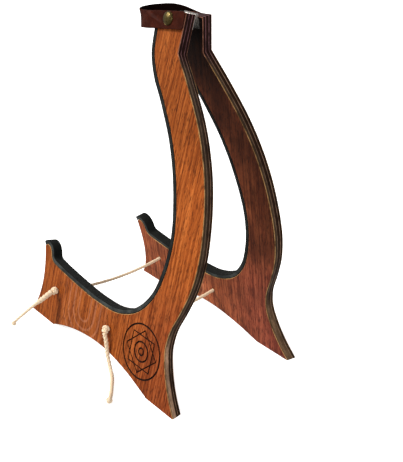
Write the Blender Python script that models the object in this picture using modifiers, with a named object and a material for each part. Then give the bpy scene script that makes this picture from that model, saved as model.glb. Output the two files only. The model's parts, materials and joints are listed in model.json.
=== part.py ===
"""A folding wooden floor stand for an oud.

Two plywood panels hang from a butt hinge along their top edge and lean apart like
an A-frame. Each has a lined hook and a lined, curved arm that the oud's bowl leans into. A
leather strap closes round the neck with a press stud, and two jute ropes, knotted outside
the panels, stop them spreading.

World axes: -X is the front, +X the back, -Y the left panel, +Y the right panel, +Z up.
A point on a panel has x, its height h above the foot measured along the panel, and w, its
distance outward from the hinge pin, measured square to the panel.
"""
from math import cos, pi, radians, sin

import bmesh
import bpy
from mathutils import Matrix, Vector

MM = 0.001

# The frame
SPLAY = radians(11.6)            # lean of each open panel from upright
PANEL_T = 18 * MM
PIN_TO_FACE = 4.2 * MM           # hinge pin axis to a panel's inner face
PIN_HEIGHT = 564 * MM            # foot to pin axis, measured along the panel
INNER_W = PIN_TO_FACE
OUTER_W = PIN_TO_FACE + PANEL_T
PIN_Z = PIN_HEIGHT * cos(SPLAY) - OUTER_W * sin(SPLAY)
GAP = 0.3 * MM                   # left between neighbouring pieces

# Outline of a panel, as runs of (x, h) in millimetres. Each run is one smooth line. The
# feet reach 2 mm too low here, and are then cut off level with the floor.
TOP_REAR = {"left": (52, 566), "right": (57.5, 562.5)}
REAR_RUN = [(51, 509), (87, 467), (122, 421), (155, 357), (174, 289), (180, 237),
            (177, 197), (165, 154), (154, 121), (152, 92), (163, 56), (180, 25), (196, 3.5)]
REAR_FOOT = [(198, 0.8), (195, -2), (138, -2)]
ARCH_RUN = [(132, 0.5), (114, 6), (86, 14.5), (52, 21.8), (14, 26.5), (-28, 25.5),
            (-72, 18.5), (-112, 7), (-128, 1)]
FRONT_FOOT = [(-135, -2), (-199, -2)]
FRONT_RUN = [(-198.5, 2), (-189, 20), (-183, 42), (-181, 68), (-184, 97), (-191, 125)]
CRADLE_RUN = [(-191, 125), (-184.5, 129), (-176, 127.5), (-170, 121), (-166.5, 112),
              (-159, 105.5), (-147, 103), (-122, 99.5), (-78, 95), (-19, 92), (34, 97),
              (75, 117), (105, 154), (119, 199), (122, 252), (108, 317), (80, 383),
              (41, 440), (14, 474), (1, 501), (-2, 530), (-2, 558)]
RUN_STEPS = 4                    # straight pieces between two points of a run

# Cradle liner: a soft strip along the edge that the oud touches
LINER_T = 7.4 * MM
LINER_WIDTH = PANEL_T - 0.4 * MM

# Ropes
ROPE_R = 3 * MM
ROPE_HOLE_R = 3.5 * MM
ROPE_H = 62 * MM                 # height of both rope holes
ROPE_X = {"front": -134.5 * MM, "rear": 18 * MM}
ROPE_SIDES = 3                   # bevel resolution of the plain rope tubes
KNOT_R = 6.8 * MM                # in the plane of the panel
KNOT_HALF_T = 5.2 * MM
END_KNOT_R = {"front": 4.4 * MM, "rear": 5.0 * MM}
TAIL_R = {"front": 3.0 * MM, "rear": 3.4 * MM}
# Route of each loose tail in millimetres, from its knot down to the floor
TAIL_ROUTE = {
    "front": [(-134.9, -136.6, 60), (-136.8, -146, 54.2), (-141.3, -155, 46.4), (-146.4, -164, 38.1),
              (-151.7, -173, 28.7), (-156.5, -181, 20), (-161, -187, 12.8), (-163, -189.4, 9.2)],
    "rear": [(21.6, -132, 53.8), (26, -132.9, 46.5), (29, -133.6, 36), (33.1, -134.8, 25.4),
             (39.1, -136.4, 16), (46, -138.6, 8.9), (54.5, -142.2, 4.9), (64, -147.6, 3.9),
             (73, -154, 3.8), (83, -161.8, 3.8), (94, -170.6, 3.8), (102.4, -177.8, 4),
             (106.5, -181.9, 4.7)],
}
END_KNOT_AT = {"front": (-165, -191.5, 4.7), "rear": (110.4, -186.1, 5.3)}
TAIL_STEPS = 4

# Butt hinge between the panels
HINGE_X = (24 * MM, 50 * MM)
LEAF_T = 1.5 * MM
LEAF_HEIGHT = 19 * MM
LEAF_OUTER_W = INNER_W - GAP
LEAF_INNER_W = LEAF_OUTER_W - LEAF_T
KNUCKLE_R = LEAF_OUTER_W
BORE_R = LEAF_INNER_W
PIN_R = BORE_R - GAP
KNUCKLES = 5
LEAF_CLEARANCE = 4.3 * MM        # pin axis to the edge of a leaf
HINGE_SCREWS = [(29 * MM, -13.6 * MM), (37 * MM, -8.8 * MM), (45 * MM, -13.6 * MM)]
SCREW_R = 1.5 * MM
SCREW_HEAD_R = 3.0 * MM
SCREW_LENGTH = 12 * MM

# Neck strap
STRAP_T = 2 * MM
STRAP_WIDTH = 25.4 * MM
FLAP_W = OUTER_W + 2.4 * MM + STRAP_T / 2      # middle of the strap over the left panel
TAB_W = OUTER_W + GAP + STRAP_T / 2            # middle of the strap over the right panel
TAB_RUN = [(-3, 551.6), (50, 545)]                              # (x, h) on the right panel
STRAP_PIVOT = (-7, 552)                                         # (x, h) beside the right panel
FLAP_RUN = [(-28, 544), (-2, 547.8), (24, 551.3), (50, 554.7)]  # (x, h) on the left panel
LOOP_RUN = [(-28, 25.5, 540), (-45, 19, 538), (-55, 5, 536),
            (-56, -9, 534), (-47.5, -22, 531.6)]  # (x, y, z) between the panels
LOOP_LEAN = 0.5                  # how far the loop's top edge leans forward, per unit height
LEAN_EASE = 0.3                  # share of the loop's length over which the lean comes in
STRAP_STEPS = 5
TAB_SCREWS = [(6, 550.4), (36, 546.7)]
TAB_SCREW_HEAD_R = 4 * MM
TAB_SCREW_HEAD_T = 2 * MM
TAB_SCREW_LENGTH = 14 * MM

# Press stud
SNAP_X = 21.5 * MM
SNAP_H = 553 * MM
CAP_R = 10 * MM
CAP_HEIGHT = 4.4 * MM
CAP_POST_R = 2 * MM
SOCKET_R = 6 * MM
SOCKET_BORE_R = 3.3 * MM
SOCKET_T = 1.1 * MM
STUD_R = 2 * MM
STUD_FLANGE_R = 4.5 * MM
STUD_FLANGE_T = 0.4 * MM
STUD_REACH = 0.5 * MM            # how far the stud stands into the socket
STUD_NAIL_R = 1.1 * MM
STUD_NAIL_LENGTH = 7 * MM

ROUND = 32                       # sides of a round piece
SIDES = {"left": -1, "right": 1}

for old in list(bpy.data.objects):
    bpy.data.objects.remove(old, do_unlink=True)


def new_collection(name):
    collection = bpy.data.collections.new(name)
    bpy.context.scene.collection.children.link(collection)
    return collection


PARTS = new_collection("oud_stand")
CUTTERS = new_collection("cutters")


def new_material(name, colour, roughness, metallic=0.0):
    material = bpy.data.materials.new(name)
    material.use_nodes = True
    shader = material.node_tree.nodes["Principled BSDF"]
    shader.inputs["Base Color"].default_value = (*colour, 1)
    shader.inputs["Roughness"].default_value = roughness
    shader.inputs["Metallic"].default_value = metallic
    return material


WOOD = new_material("stained_plywood", (0.42, 0.17, 0.06), 0.45)
FOAM = new_material("black_foam", (0.03, 0.03, 0.032), 0.9)
NICKEL = new_material("nickel", (0.62, 0.62, 0.6), 0.3, 1.0)
BRASS = new_material("antique_brass", (0.45, 0.36, 0.17), 0.35, 1.0)
LEATHER = new_material("brown_leather", (0.09, 0.035, 0.025), 0.5)
JUTE = new_material("jute", (0.72, 0.56, 0.37), 0.9)


# ---- placing ---------------------------------------------------------------------------

def panel_frame(side):
    """An empty on the hinge pin: local Y runs up the panel, local Z square to it."""
    frame = bpy.data.objects.new(side + "_frame", None)
    frame.location = (0, 0, PIN_Z)
    frame.rotation_euler = (pi / 2 + SIDES[side] * SPLAY, 0, 0)
    PARTS.objects.link(frame)
    return frame


def local_z(side, w):
    return -SIDES[side] * w


def in_frame(side, x, h, w):
    """A point of a panel, in that panel's frame."""
    return Vector((x, h - PIN_HEIGHT, local_z(side, w)))


def frame_matrix(side):
    turn = Matrix.Rotation(pi / 2 + SIDES[side] * SPLAY, 4, "X")
    return Matrix.Translation((0, 0, PIN_Z)) @ turn


def in_world(side, x, h, w):
    return frame_matrix(side) @ in_frame(side, x, h, w)


def finish(item, name, material, frame=None, collection=PARTS):
    """Name an object, give it its material and collection, and hang it on its frame."""
    item.name = name
    item.data.name = name
    for owner in list(item.users_collection):
        owner.objects.unlink(item)
    collection.objects.link(item)
    item.data.materials.clear()
    if material:
        item.data.materials.append(material)
    if frame:
        item.parent = frame
    if collection is CUTTERS:
        item.hide_render = True
        item.display_type = "WIRE"
    return item


# ---- shaping ---------------------------------------------------------------------------

def smooth_run(points, steps):
    """A smooth line through the points: Catmull-Rom, spaced by the chord lengths."""
    points = [Vector(p) for p in points]
    knots = [0.0]
    for a, b in zip(points, points[1:]):
        knots.append(knots[-1] + (b - a).length)
    slopes = []
    for i in range(len(points)):
        before, after = max(i - 1, 0), min(i + 1, len(points) - 1)
        if before < i < after:
            into = (points[i] - points[before]) / (knots[i] - knots[before])
            out = (points[after] - points[i]) / (knots[after] - knots[i])
            share = (knots[i] - knots[before]) / (knots[after] - knots[before])
            slopes.append(into.lerp(out, share))
        else:
            slopes.append((points[after] - points[before]) / (knots[after] - knots[before]))
    line = []
    for i in range(len(points) - 1):
        span = knots[i + 1] - knots[i]
        for step in range(steps):
            u = step / steps
            line.append(points[i] * (2 * u ** 3 - 3 * u ** 2 + 1)
                        + slopes[i] * span * (u ** 3 - 2 * u ** 2 + u)
                        + points[i + 1] * (3 * u ** 2 - 2 * u ** 3)
                        + slopes[i + 1] * span * (u ** 3 - u ** 2))
    line.append(points[-1])
    return line


def offset_line(line, distance):
    """The line moved sideways, to its left, by a distance."""
    moved = []
    for i, point in enumerate(line):
        along = (line[min(i + 1, len(line) - 1)] - line[max(i - 1, 0)]).normalized()
        moved.append(point + Vector((-along.y, along.x)) * distance)
    return moved


def flat_piece(outline, thickness, holes=()):
    """A plate in the XY plane, centred on Z, from a closed outline and round holes."""
    curve = bpy.data.curves.new("plate", "CURVE")
    curve.dimensions = "2D"
    curve.fill_mode = "BOTH"
    curve.extrude = thickness / 2
    loops = [outline]
    for centre, radius in holes:
        turn = [2 * pi * i / ROUND for i in range(ROUND)]
        loops.append([Vector((centre[0] + radius * cos(a), centre[1] + radius * sin(a))) for a in turn])
    for loop in loops:
        spline = curve.splines.new("POLY")
        spline.points.add(len(loop) - 1)
        for point, place in zip(spline.points, loop):
            point.co = (place[0], place[1], 0, 1)
        spline.use_cyclic_u = True
    plate = bpy.data.objects.new("plate", curve)
    bpy.context.scene.collection.objects.link(plate)
    return plate


def as_mesh(item):
    """A curve object made into a mesh object with welded caps."""
    evaluated = item.evaluated_get(bpy.context.evaluated_depsgraph_get())
    mesh = bpy.data.meshes.new_from_object(evaluated)
    shape = bmesh.new()
    shape.from_mesh(mesh)
    bmesh.ops.remove_doubles(shape, verts=shape.verts, dist=0.00001)
    bmesh.ops.recalc_face_normals(shape, faces=shape.faces)
    shape.to_mesh(mesh)
    shape.free()
    solid = bpy.data.objects.new(item.name, mesh)
    solid.matrix_world = item.matrix_world
    bpy.context.scene.collection.objects.link(solid)
    bpy.data.objects.remove(item, do_unlink=True)
    return solid


def box(low, high):
    size = [b - a for a, b in zip(low, high)]
    middle = [(a + b) / 2 for a, b in zip(low, high)]
    bpy.ops.mesh.primitive_cube_add(size=1, location=middle)
    item = bpy.context.object
    item.scale = size
    bpy.ops.object.transform_apply(location=False, rotation=False, scale=True)
    return item


def shade_round(item):
    """Smooth shading that keeps the sharp edges."""
    item.data.shade_smooth()
    item.data.set_sharp_from_angle(angle=radians(35))
    return item


def rod(start, end, radius, end_radius=None):
    """A cylinder, or a cone frustum, between two points."""
    start, end = Vector(start), Vector(end)
    along = end - start
    bpy.ops.mesh.primitive_cone_add(
        vertices=ROUND, radius1=radius, radius2=radius if end_radius is None else end_radius,
        depth=along.length, location=(start + end) / 2)
    item = bpy.context.object
    item.rotation_mode = "QUATERNION"
    item.rotation_quaternion = along.to_track_quat("Z", "Y")
    return shade_round(item)


def turned(profile):
    """A round piece about local Z. The profile is (radius, z), from its top to its bottom."""
    mesh = bpy.data.meshes.new("turned")
    points = [(radius, 0, z) for radius, z in profile]
    mesh.from_pydata(points, [(i, i + 1) for i in range(len(points) - 1)], [])
    item = bpy.data.objects.new("turned", mesh)
    bpy.context.scene.collection.objects.link(item)
    screw = item.modifiers.new("turn", "SCREW")
    screw.steps = screw.render_steps = ROUND
    screw.use_smooth_shade = True
    screw.use_merge_vertices = True
    screw.merge_threshold = 0.00001
    return item


def stand_out(item, side, x, h, w):
    """Put a turned piece on a panel with its local Z pointing away from the stand."""
    item.location = in_frame(side, x, h, w)
    item.rotation_euler = (0 if side == "left" else pi, 0, 0)
    return item


def boolean(item, other, operation):
    step = item.modifiers.new(operation.lower(), "BOOLEAN")
    step.operation = operation
    step.solver = "EXACT"
    step.object = other
    return item


# ---- panels and their liners -----------------------------------------------------------

def panel_outline(side):
    """The closed outline of a panel, in its frame: up the front, over the top, down the back."""
    cradle = smooth_run(CRADLE_RUN, RUN_STEPS)
    rear = smooth_run(REAR_RUN, RUN_STEPS)
    arch = smooth_run(ARCH_RUN, RUN_STEPS)
    front = smooth_run(FRONT_RUN, RUN_STEPS)
    corners = [[Vector(TOP_REAR[side])], rear, [Vector(p) for p in REAR_FOOT], arch,
               [Vector(p) for p in FRONT_FOOT], front[:-1]]
    line = cradle + [point for run in corners for point in run]
    return [Vector((p.x * MM, p.y * MM - PIN_HEIGHT)) for p in line]


def screw_hole(frame, side, x, h, mouth_w, depth, radius, name):
    """A blind hole, from mouth_w to depth further into the wood (or nearer, if negative)."""
    margin = GAP if depth < 0 else -GAP
    cutter = rod(in_frame(side, x, h, mouth_w + margin), in_frame(side, x, h, mouth_w + depth), radius)
    return finish(cutter, name, None, frame, CUTTERS)


def make_panel(side, frame):
    holes = [((x, ROPE_H - PIN_HEIGHT), ROPE_HOLE_R) for x in ROPE_X.values()]
    plate = flat_piece(panel_outline(side), PANEL_T, holes)
    plate.location = (0, 0, local_z(side, (INNER_W + OUTER_W) / 2))
    panel = finish(as_mesh(plate), side + "_panel", WOOD, frame)
    for number, (x, y) in enumerate(HINGE_SCREWS, 1):
        boolean(panel, screw_hole(frame, side, x, PIN_HEIGHT + y, INNER_W, SCREW_LENGTH,
                                  SCREW_R + GAP, f"{side}_pilot_{number}"), "DIFFERENCE")
    if side == "right":
        for number, (x, h) in enumerate(TAB_SCREWS, 1):
            boolean(panel, screw_hole(frame, side, x * MM, h * MM, OUTER_W, -TAB_SCREW_LENGTH,
                                      SCREW_R + GAP, f"tab_pilot_{number}"), "DIFFERENCE")
    else:
        boolean(panel, screw_hole(frame, side, SNAP_X, SNAP_H, OUTER_W, -STUD_NAIL_LENGTH - GAP,
                                  STUD_NAIL_R + GAP, "stud_pilot"), "DIFFERENCE")
    floor = finish(box((-0.3, -0.3, -0.05), (0.3, 0.3, 0)), side + "_floor_cut", None, None, CUTTERS)
    return boolean(panel, floor, "DIFFERENCE")


def make_liner(side, frame):
    edge = [Vector((p.x * MM, p.y * MM - PIN_HEIGHT)) for p in smooth_run(CRADLE_RUN, RUN_STEPS)]
    band = offset_line(edge, GAP) + offset_line(edge, GAP + LINER_T)[::-1]
    strip = flat_piece(band, LINER_WIDTH)
    strip.location = (0, 0, local_z(side, (INNER_W + OUTER_W) / 2))
    return finish(as_mesh(strip), side + "_liner", FOAM, frame)


# ---- hinge -----------------------------------------------------------------------------

def leaf_box(side, x_range, y_range, w_range):
    z_range = sorted(local_z(side, w) for w in w_range)
    return box((x_range[0], y_range[0], z_range[0]), (x_range[1], y_range[1], z_range[1]))


def make_leaf(side, frame):
    name = side + "_hinge_leaf"
    leaf = leaf_box(side, HINGE_X, (-LEAF_HEIGHT, -LEAF_CLEARANCE), (LEAF_INNER_W, LEAF_OUTER_W))
    leaf = finish(leaf, name, NICKEL, frame)
    pitch = (HINGE_X[1] - HINGE_X[0]) / KNUCKLES
    first = 0 if side == "left" else 1
    skin = 0.05 * MM                 # keeps the joining strip just inside the leaf's faces
    for number in range(first, KNUCKLES, 2):
        start = HINGE_X[0] + number * pitch + GAP / 2
        end = start + pitch - GAP
        strip = leaf_box(side, (start, end), (-LEAF_CLEARANCE - 1 * MM, 0),
                         (LEAF_INNER_W + skin, LEAF_OUTER_W - skin))
        strip = finish(strip, f"{name}_strip_{number}", None, frame, CUTTERS)
        barrel = rod((start, 0, 0), (end, 0, 0), KNUCKLE_R)
        barrel = finish(barrel, f"{name}_barrel_{number}", None, frame, CUTTERS)
        boolean(boolean(leaf, strip, "UNION"), barrel, "UNION")
    bore = rod((HINGE_X[0] - 5 * MM, 0, 0), (HINGE_X[1] + 5 * MM, 0, 0), BORE_R)
    boolean(leaf, finish(bore, name + "_bore", None, frame, CUTTERS), "DIFFERENCE")
    for number, (x, y) in enumerate(HINGE_SCREWS, 1):
        inner = in_frame(side, x, PIN_HEIGHT + y, LEAF_INNER_W - GAP)
        outer = in_frame(side, x, PIN_HEIGHT + y, LEAF_OUTER_W + GAP)
        sink = rod(inner, outer, SCREW_HEAD_R + 2 * GAP, SCREW_R + GAP)
        boolean(leaf, finish(sink, f"{name}_sink_{number}", None, frame, CUTTERS), "DIFFERENCE")
    return leaf


def make_hinge_screws(side, frame):
    """Countersunk screws, their heads flush with the inner side of the leaf."""
    profile = [(0, 0), (SCREW_HEAD_R, 0), (SCREW_R, -LEAF_T), (SCREW_R, -SCREW_LENGTH + 2 * MM),
               (0, -SCREW_LENGTH)]
    for number, (x, y) in enumerate(HINGE_SCREWS, 1):
        screw = finish(turned(profile), f"{side}_hinge_screw_{number}", NICKEL, frame)
        screw.location = in_frame(side, x, PIN_HEIGHT + y, LEAF_INNER_W)
        screw.rotation_euler = (pi if side == "left" else 0, 0, 0)


def make_pin(frame):
    overhang = 0.5 * MM
    pin = rod((HINGE_X[0] - overhang, 0, 0), (HINGE_X[1] + overhang, 0, 0), PIN_R)
    finish(pin, "hinge_pin", NICKEL, frame)


# ---- ropes -----------------------------------------------------------------------------

def tube(points, radius):
    curve = bpy.data.curves.new("tube", "CURVE")
    curve.dimensions = "3D"
    curve.bevel_depth = radius
    curve.bevel_resolution = ROPE_SIDES
    curve.use_fill_caps = True
    spline = curve.splines.new("POLY")
    spline.points.add(len(points) - 1)
    for point, place in zip(spline.points, points):
        point.co = (*place, 1)
    return bpy.data.objects.new("tube", curve)


def span_route(x):
    """Through both holes square to the panels, sagging evenly between them."""
    mouths = [in_world("left", x, ROPE_H, w) for w in (OUTER_W, INNER_W)]
    mouths += [in_world("right", x, ROPE_H, w) for w in (INNER_W, OUTER_W)]
    span = mouths[2].y - mouths[1].y
    sag = span * sin(SPLAY) / cos(SPLAY) / 4
    pieces = 14
    between = []
    for i in range(1, pieces):
        u = i / pieces
        point = mouths[1].lerp(mouths[2], u)
        point.z -= 4 * sag * u * (1 - u)
        between.append(point)
    return mouths[:2] + between + mouths[2:]


def knot(radius, half_thickness, name, frame=None):
    """The outer shape of an overhand knot."""
    bpy.ops.mesh.primitive_uv_sphere_add(segments=16, ring_count=10, radius=radius)
    item = bpy.context.object
    item.scale.z = half_thickness / radius
    bpy.ops.object.transform_apply(location=False, rotation=False, scale=True)
    return finish(shade_round(item), name, JUTE, frame)


def make_rope(place, frames):
    x = ROPE_X[place]
    finish(tube(span_route(x), ROPE_R), place + "_rope_span", JUTE)
    for side, frame in frames.items():
        stopper = knot(KNOT_R, KNOT_HALF_T, f"{place}_rope_knot_{side}", frame)
        stopper.location = in_frame(side, x, ROPE_H, OUTER_W + GAP + KNOT_HALF_T)
    route = [Vector(p) * MM for p in TAIL_ROUTE[place]]
    finish(tube(smooth_run(route, TAIL_STEPS), TAIL_R[place]), place + "_rope_tail", JUTE)
    end = knot(END_KNOT_R[place], END_KNOT_R[place], place + "_rope_end_knot")
    end.location = Vector(END_KNOT_AT[place]) * MM


# ---- neck strap ------------------------------------------------------------------------

def ribbon(stations):
    """A leather strip from (centre, width direction) stations, given its thickness."""
    mesh = bpy.data.meshes.new("ribbon")
    shape = bmesh.new()
    rows = []
    for centre, across in stations:
        half = across.normalized() * STRAP_WIDTH / 2
        rows.append([shape.verts.new(centre - half), shape.verts.new(centre + half)])
    for a, b in zip(rows, rows[1:]):
        shape.faces.new((a[0], b[0], b[1], a[1]))
    shape.to_mesh(mesh)
    shape.free()
    item = bpy.data.objects.new("ribbon", mesh)
    thicken = item.modifiers.new("thickness", "SOLIDIFY")
    thicken.thickness = STRAP_T
    thicken.offset = 0
    thicken.use_even_offset = True
    return item


def up_panel(side):
    return frame_matrix(side).to_3x3() @ Vector((0, 1, 0))


def eased(share):
    """A share from 0 to 1, starting and ending gently."""
    share = min(1.0, max(0.0, share))
    return share * share * (3 - 2 * share)


def strap_stations():
    """From the pivot beside the right panel, round the front, along the left panel."""
    path = [in_world("right", STRAP_PIVOT[0] * MM, STRAP_PIVOT[1] * MM, TAB_W)]
    path += [Vector(p) * MM for p in LOOP_RUN]
    path += [in_world("left", x * MM, h * MM, FLAP_W) for x, h in FLAP_RUN]
    line = smooth_run(path, STRAP_STEPS)
    lengths = [0.0]
    for a, b in zip(line, line[1:]):
        lengths.append(lengths[-1] + (b - a).length)
    turn_end = lengths[(len(LOOP_RUN) + 1) * STRAP_STEPS]
    stations = []
    for i, centre in enumerate(line):
        along = (line[min(i + 1, len(line) - 1)] - line[max(i - 1, 0)]).normalized()
        share = min(1.0, lengths[i] / turn_end)
        across = up_panel("right").lerp(up_panel("left"), share)
        across.x -= LOOP_LEAN * eased(share / LEAN_EASE) * eased((1 - share) / LEAN_EASE)
        stations.append((centre, across - along * across.dot(along)))
    return stations


def through_hole(side, x, h, radius, name):
    """A cutter square to a panel, reaching from its outer face to past the strap."""
    reach = 6 * MM
    cutter = rod(in_world(side, x, h, OUTER_W), in_world(side, x, h, OUTER_W + reach), radius)
    return finish(cutter, name, None, None, CUTTERS)


def make_strap():
    strap = finish(ribbon(strap_stations()), "neck_strap", LEATHER)
    boolean(strap, through_hole("left", SNAP_X, SNAP_H, CAP_POST_R + GAP, "snap_hole"), "DIFFERENCE")
    ends = [in_world("right", x * MM, h * MM, TAB_W) for x, h in TAB_RUN]
    along = (ends[1] - ends[0]).normalized()
    across = up_panel("right") - along * up_panel("right").dot(along)
    tab = finish(ribbon([(end, across) for end in ends]), "strap_anchor_tab", LEATHER)
    for number, (x, h) in enumerate(TAB_SCREWS, 1):
        hole = through_hole("right", x * MM, h * MM, SCREW_R + GAP, f"tab_hole_{number}")
        boolean(tab, hole, "DIFFERENCE")


def make_tab_screws(frame):
    """Round-headed screws that hold the strap's fixed end."""
    dome = [(TAB_SCREW_HEAD_R * sin(a), TAB_SCREW_HEAD_T * cos(a))
            for a in [pi / 2 * i / 5 for i in range(5)]]
    profile = dome + [(TAB_SCREW_HEAD_R, 0), (SCREW_R, 0), (SCREW_R, -TAB_SCREW_LENGTH + 2 * MM),
                      (0, -TAB_SCREW_LENGTH)]
    for number, (x, h) in enumerate(TAB_SCREWS, 1):
        screw = finish(turned(profile), f"strap_screw_{number}", BRASS, frame)
        stand_out(screw, "right", x * MM, h * MM, TAB_W + STRAP_T / 2 + GAP)


def make_snap(frame):
    """Cap and socket on the strap, stud on the left panel."""
    rim = 0.6 * MM
    dome = [(CAP_R * sin(a), rim + (CAP_HEIGHT - rim) * cos(a))
            for a in [pi / 2 * i / 6 for i in range(7)]]
    post = STRAP_T + GAP
    cap = turned(dome + [(CAP_R, 0), (CAP_POST_R, 0), (CAP_POST_R, -post), (0, -post)])
    stand_out(finish(cap, "snap_cap", BRASS, frame), "left", SNAP_X, SNAP_H,
              FLAP_W + STRAP_T / 2 + GAP)
    socket_top = FLAP_W - STRAP_T / 2 - GAP
    socket = turned([(SOCKET_BORE_R, 0), (SOCKET_R, 0), (SOCKET_R, -SOCKET_T),
                     (SOCKET_BORE_R, -SOCKET_T), (SOCKET_BORE_R, 0)])
    stand_out(finish(socket, "snap_socket", BRASS, frame), "left", SNAP_X, SNAP_H, socket_top)
    stud_height = socket_top - SOCKET_T + STUD_REACH - (OUTER_W + GAP)
    stud = turned([(0, stud_height), (STUD_R, stud_height), (STUD_R, STUD_FLANGE_T),
                   (STUD_FLANGE_R, STUD_FLANGE_T), (STUD_FLANGE_R, 0), (STUD_NAIL_R, 0),
                   (STUD_NAIL_R, -STUD_NAIL_LENGTH + 1 * MM), (0, -STUD_NAIL_LENGTH)])
    stand_out(finish(stud, "snap_stud", BRASS, frame), "left", SNAP_X, SNAP_H, OUTER_W + GAP)


def main():
    frames = {side: panel_frame(side) for side in SIDES}
    for side, frame in frames.items():
        make_panel(side, frame)
        make_liner(side, frame)
        make_leaf(side, frame)
        make_hinge_screws(side, frame)
    make_pin(frames["right"])
    for place in ROPE_X:
        make_rope(place, frames)
    make_strap()
    make_tab_screws(frames["right"])
    make_snap(frames["left"])


main()
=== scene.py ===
"""The looks of a folding wooden oud stand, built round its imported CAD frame.

World axes: -X is the front of the stand, -Y its left panel and +Z up. In a panel's own frame,
x and y lie in its plane, y upward with the hinge pin at y = 0, and w is the distance outward
from the pin. Every size is in metres.
"""
import json
from contextlib import contextmanager
from math import asin, cos, exp, pi, radians, sin, sqrt, tau

import bmesh
import bpy
from mathutils import Matrix, Vector, noise
from mathutils.geometry import tessellate_polygon


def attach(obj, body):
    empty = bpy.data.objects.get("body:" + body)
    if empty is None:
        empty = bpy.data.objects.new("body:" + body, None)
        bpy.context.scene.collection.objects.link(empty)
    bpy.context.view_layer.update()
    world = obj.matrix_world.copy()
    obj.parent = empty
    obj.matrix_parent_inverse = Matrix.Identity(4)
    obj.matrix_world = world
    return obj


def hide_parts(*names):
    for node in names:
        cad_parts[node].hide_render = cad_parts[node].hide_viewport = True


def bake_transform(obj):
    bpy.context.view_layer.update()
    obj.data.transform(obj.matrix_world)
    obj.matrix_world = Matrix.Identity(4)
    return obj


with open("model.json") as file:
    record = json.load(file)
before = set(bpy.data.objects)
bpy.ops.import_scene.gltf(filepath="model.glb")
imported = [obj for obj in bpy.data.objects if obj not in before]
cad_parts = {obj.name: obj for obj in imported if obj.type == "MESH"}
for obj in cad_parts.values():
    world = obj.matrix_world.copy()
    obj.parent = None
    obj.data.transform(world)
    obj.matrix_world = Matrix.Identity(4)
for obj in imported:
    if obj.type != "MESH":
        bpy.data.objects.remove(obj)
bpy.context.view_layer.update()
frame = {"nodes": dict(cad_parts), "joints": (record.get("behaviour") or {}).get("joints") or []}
noise.seed_set(7)  # without it, noise_vector differs from run to run

MM = 0.001

# ---- what the frame says ----

JOINTS = {joint["name"]: joint for joint in frame["joints"]}
PIN = Vector(JOINTS["panel_fold"]["pos_m"])
SPLAY = asin(JOINTS["strap_swing"]["axis"][1])
SIDES = {"left": -1, "right": 1}
BODY = {"left": "left_panel", "right": "right_panel"}


def panel_matrix(side):
    return Matrix.Translation(PIN) @ Matrix.Rotation(pi / 2 + SIDES[side] * SPLAY, 4, "X")


def in_frame(side, x, y, w):
    return Vector((x, y, -SIDES[side] * w))


def in_world(side, x, y, w):
    return panel_matrix(side) @ in_frame(side, x, y, w)


def placed_at(side, x, y, w):
    return panel_matrix(side) @ Matrix.Translation(in_frame(side, x, y, w))


def reach_of(node, side):
    """Least and greatest distance of a node from the pin, square to a panel."""
    to_panel = panel_matrix(side).inverted()
    places = [abs((to_panel @ vertex.co).z) for vertex in frame["nodes"][node].data.vertices]
    return min(places), max(places)


INNER_W, OUTER_W = reach_of("left_panel", "left")
PANEL_T = OUTER_W - INNER_W
PIN_HEIGHT = (PIN.z + OUTER_W * sin(SPLAY)) / cos(SPLAY)

# ---- sizes ----

GAP = 0.3 * MM  # left between neighbouring pieces in the CAD model
LINE_STEP = 1.5 * MM  # spacing of the points of a smooth line

PANEL_EASE = 0.9 * MM  # rounding of a panel's edges
LINER_EASE = 1.0 * MM
CORNER_EASE = 1.2 * MM  # rounding of the corners of an outline
CORNER_STEPS = 5
OUTLINE_STEP = 2.0 * MM
SLIVER = 0.004 * MM  # edges shorter than this are welded
CORNER_TURN = radians(24)  # a sharper turn than this is a corner
GLUE_LINES = (0.31, 0.66)  # where the pale plies lie, as shares of the thickness
GLUE_GROOVE = 0.1 * MM  # depth of the groove along a pale ply
GROOVE_HALF = 0.35 * MM  # half its width
FOOT_OVERRUN = 4 * MM  # how far below the floor the feet reach before they are cut
FOOT_CLEAR = 0.02 * MM  # how far above the floor they are cut
LINER_RIPPLE = 0.12 * MM

MARK_AT = (103 * MM, 64 * MM - PIN_HEIGHT)
MARK_R = 43.5 * MM
MARK_LINE_R = 1.5 * MM
MARK_PROUD = 0.15 * MM  # the middle of a line's round cutter, outside the face
MARK_SHAPES = [  # (share of the radius, sides, turn)
    (1, 96, 0), (0.82, 4, 0), (0.82, 4, pi / 4), (0.36, 48, 0), (0.13, 24, 0)]

ROPE_R = 3 * MM
ROPE_H = 62 * MM
ROPE_X = {"front": -134.5 * MM, "rear": 18 * MM}
ROPE_PITCH = 19 * MM  # one full turn of a strand
YARN_PITCH = 0.45 * ROPE_PITCH
YARNS = 9
ROPE_STEP = 0.9 * MM  # between two sections of a rope's skin
KNOT_R = 6.8 * MM
KNOT_HALF_T = 5.2 * MM
KNOT_TURN = {"front": 0.4, "rear": 1.3}
KNOT_SLACK = 1.1  # how much wider the knot's strands lie than its round core
END_KNOT_TILT = 0.9
END_KNOT_STRAND = 0.42  # a strand's radius, as a share of the knot's
END_KNOT_R = {"front": 4.4 * MM, "rear": 5.0 * MM}
END_KNOT_AT = {"front": (-165, -191.5, 4.7), "rear": (110.4, -186.1, 5.3)}
TAIL_R = {"front": 3.0 * MM, "rear": 3.4 * MM}
TAIL_TAPER = {  # (share of the length, share of the radius) down each tail
    "front": [(0, 1.68), (0.26, 1.6), (0.46, 0.92), (1, 0.84)],
    "rear": [(0, 1.12), (0.12, 1.1), (0.3, 1.0), (1, 1.0)],
}
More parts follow.
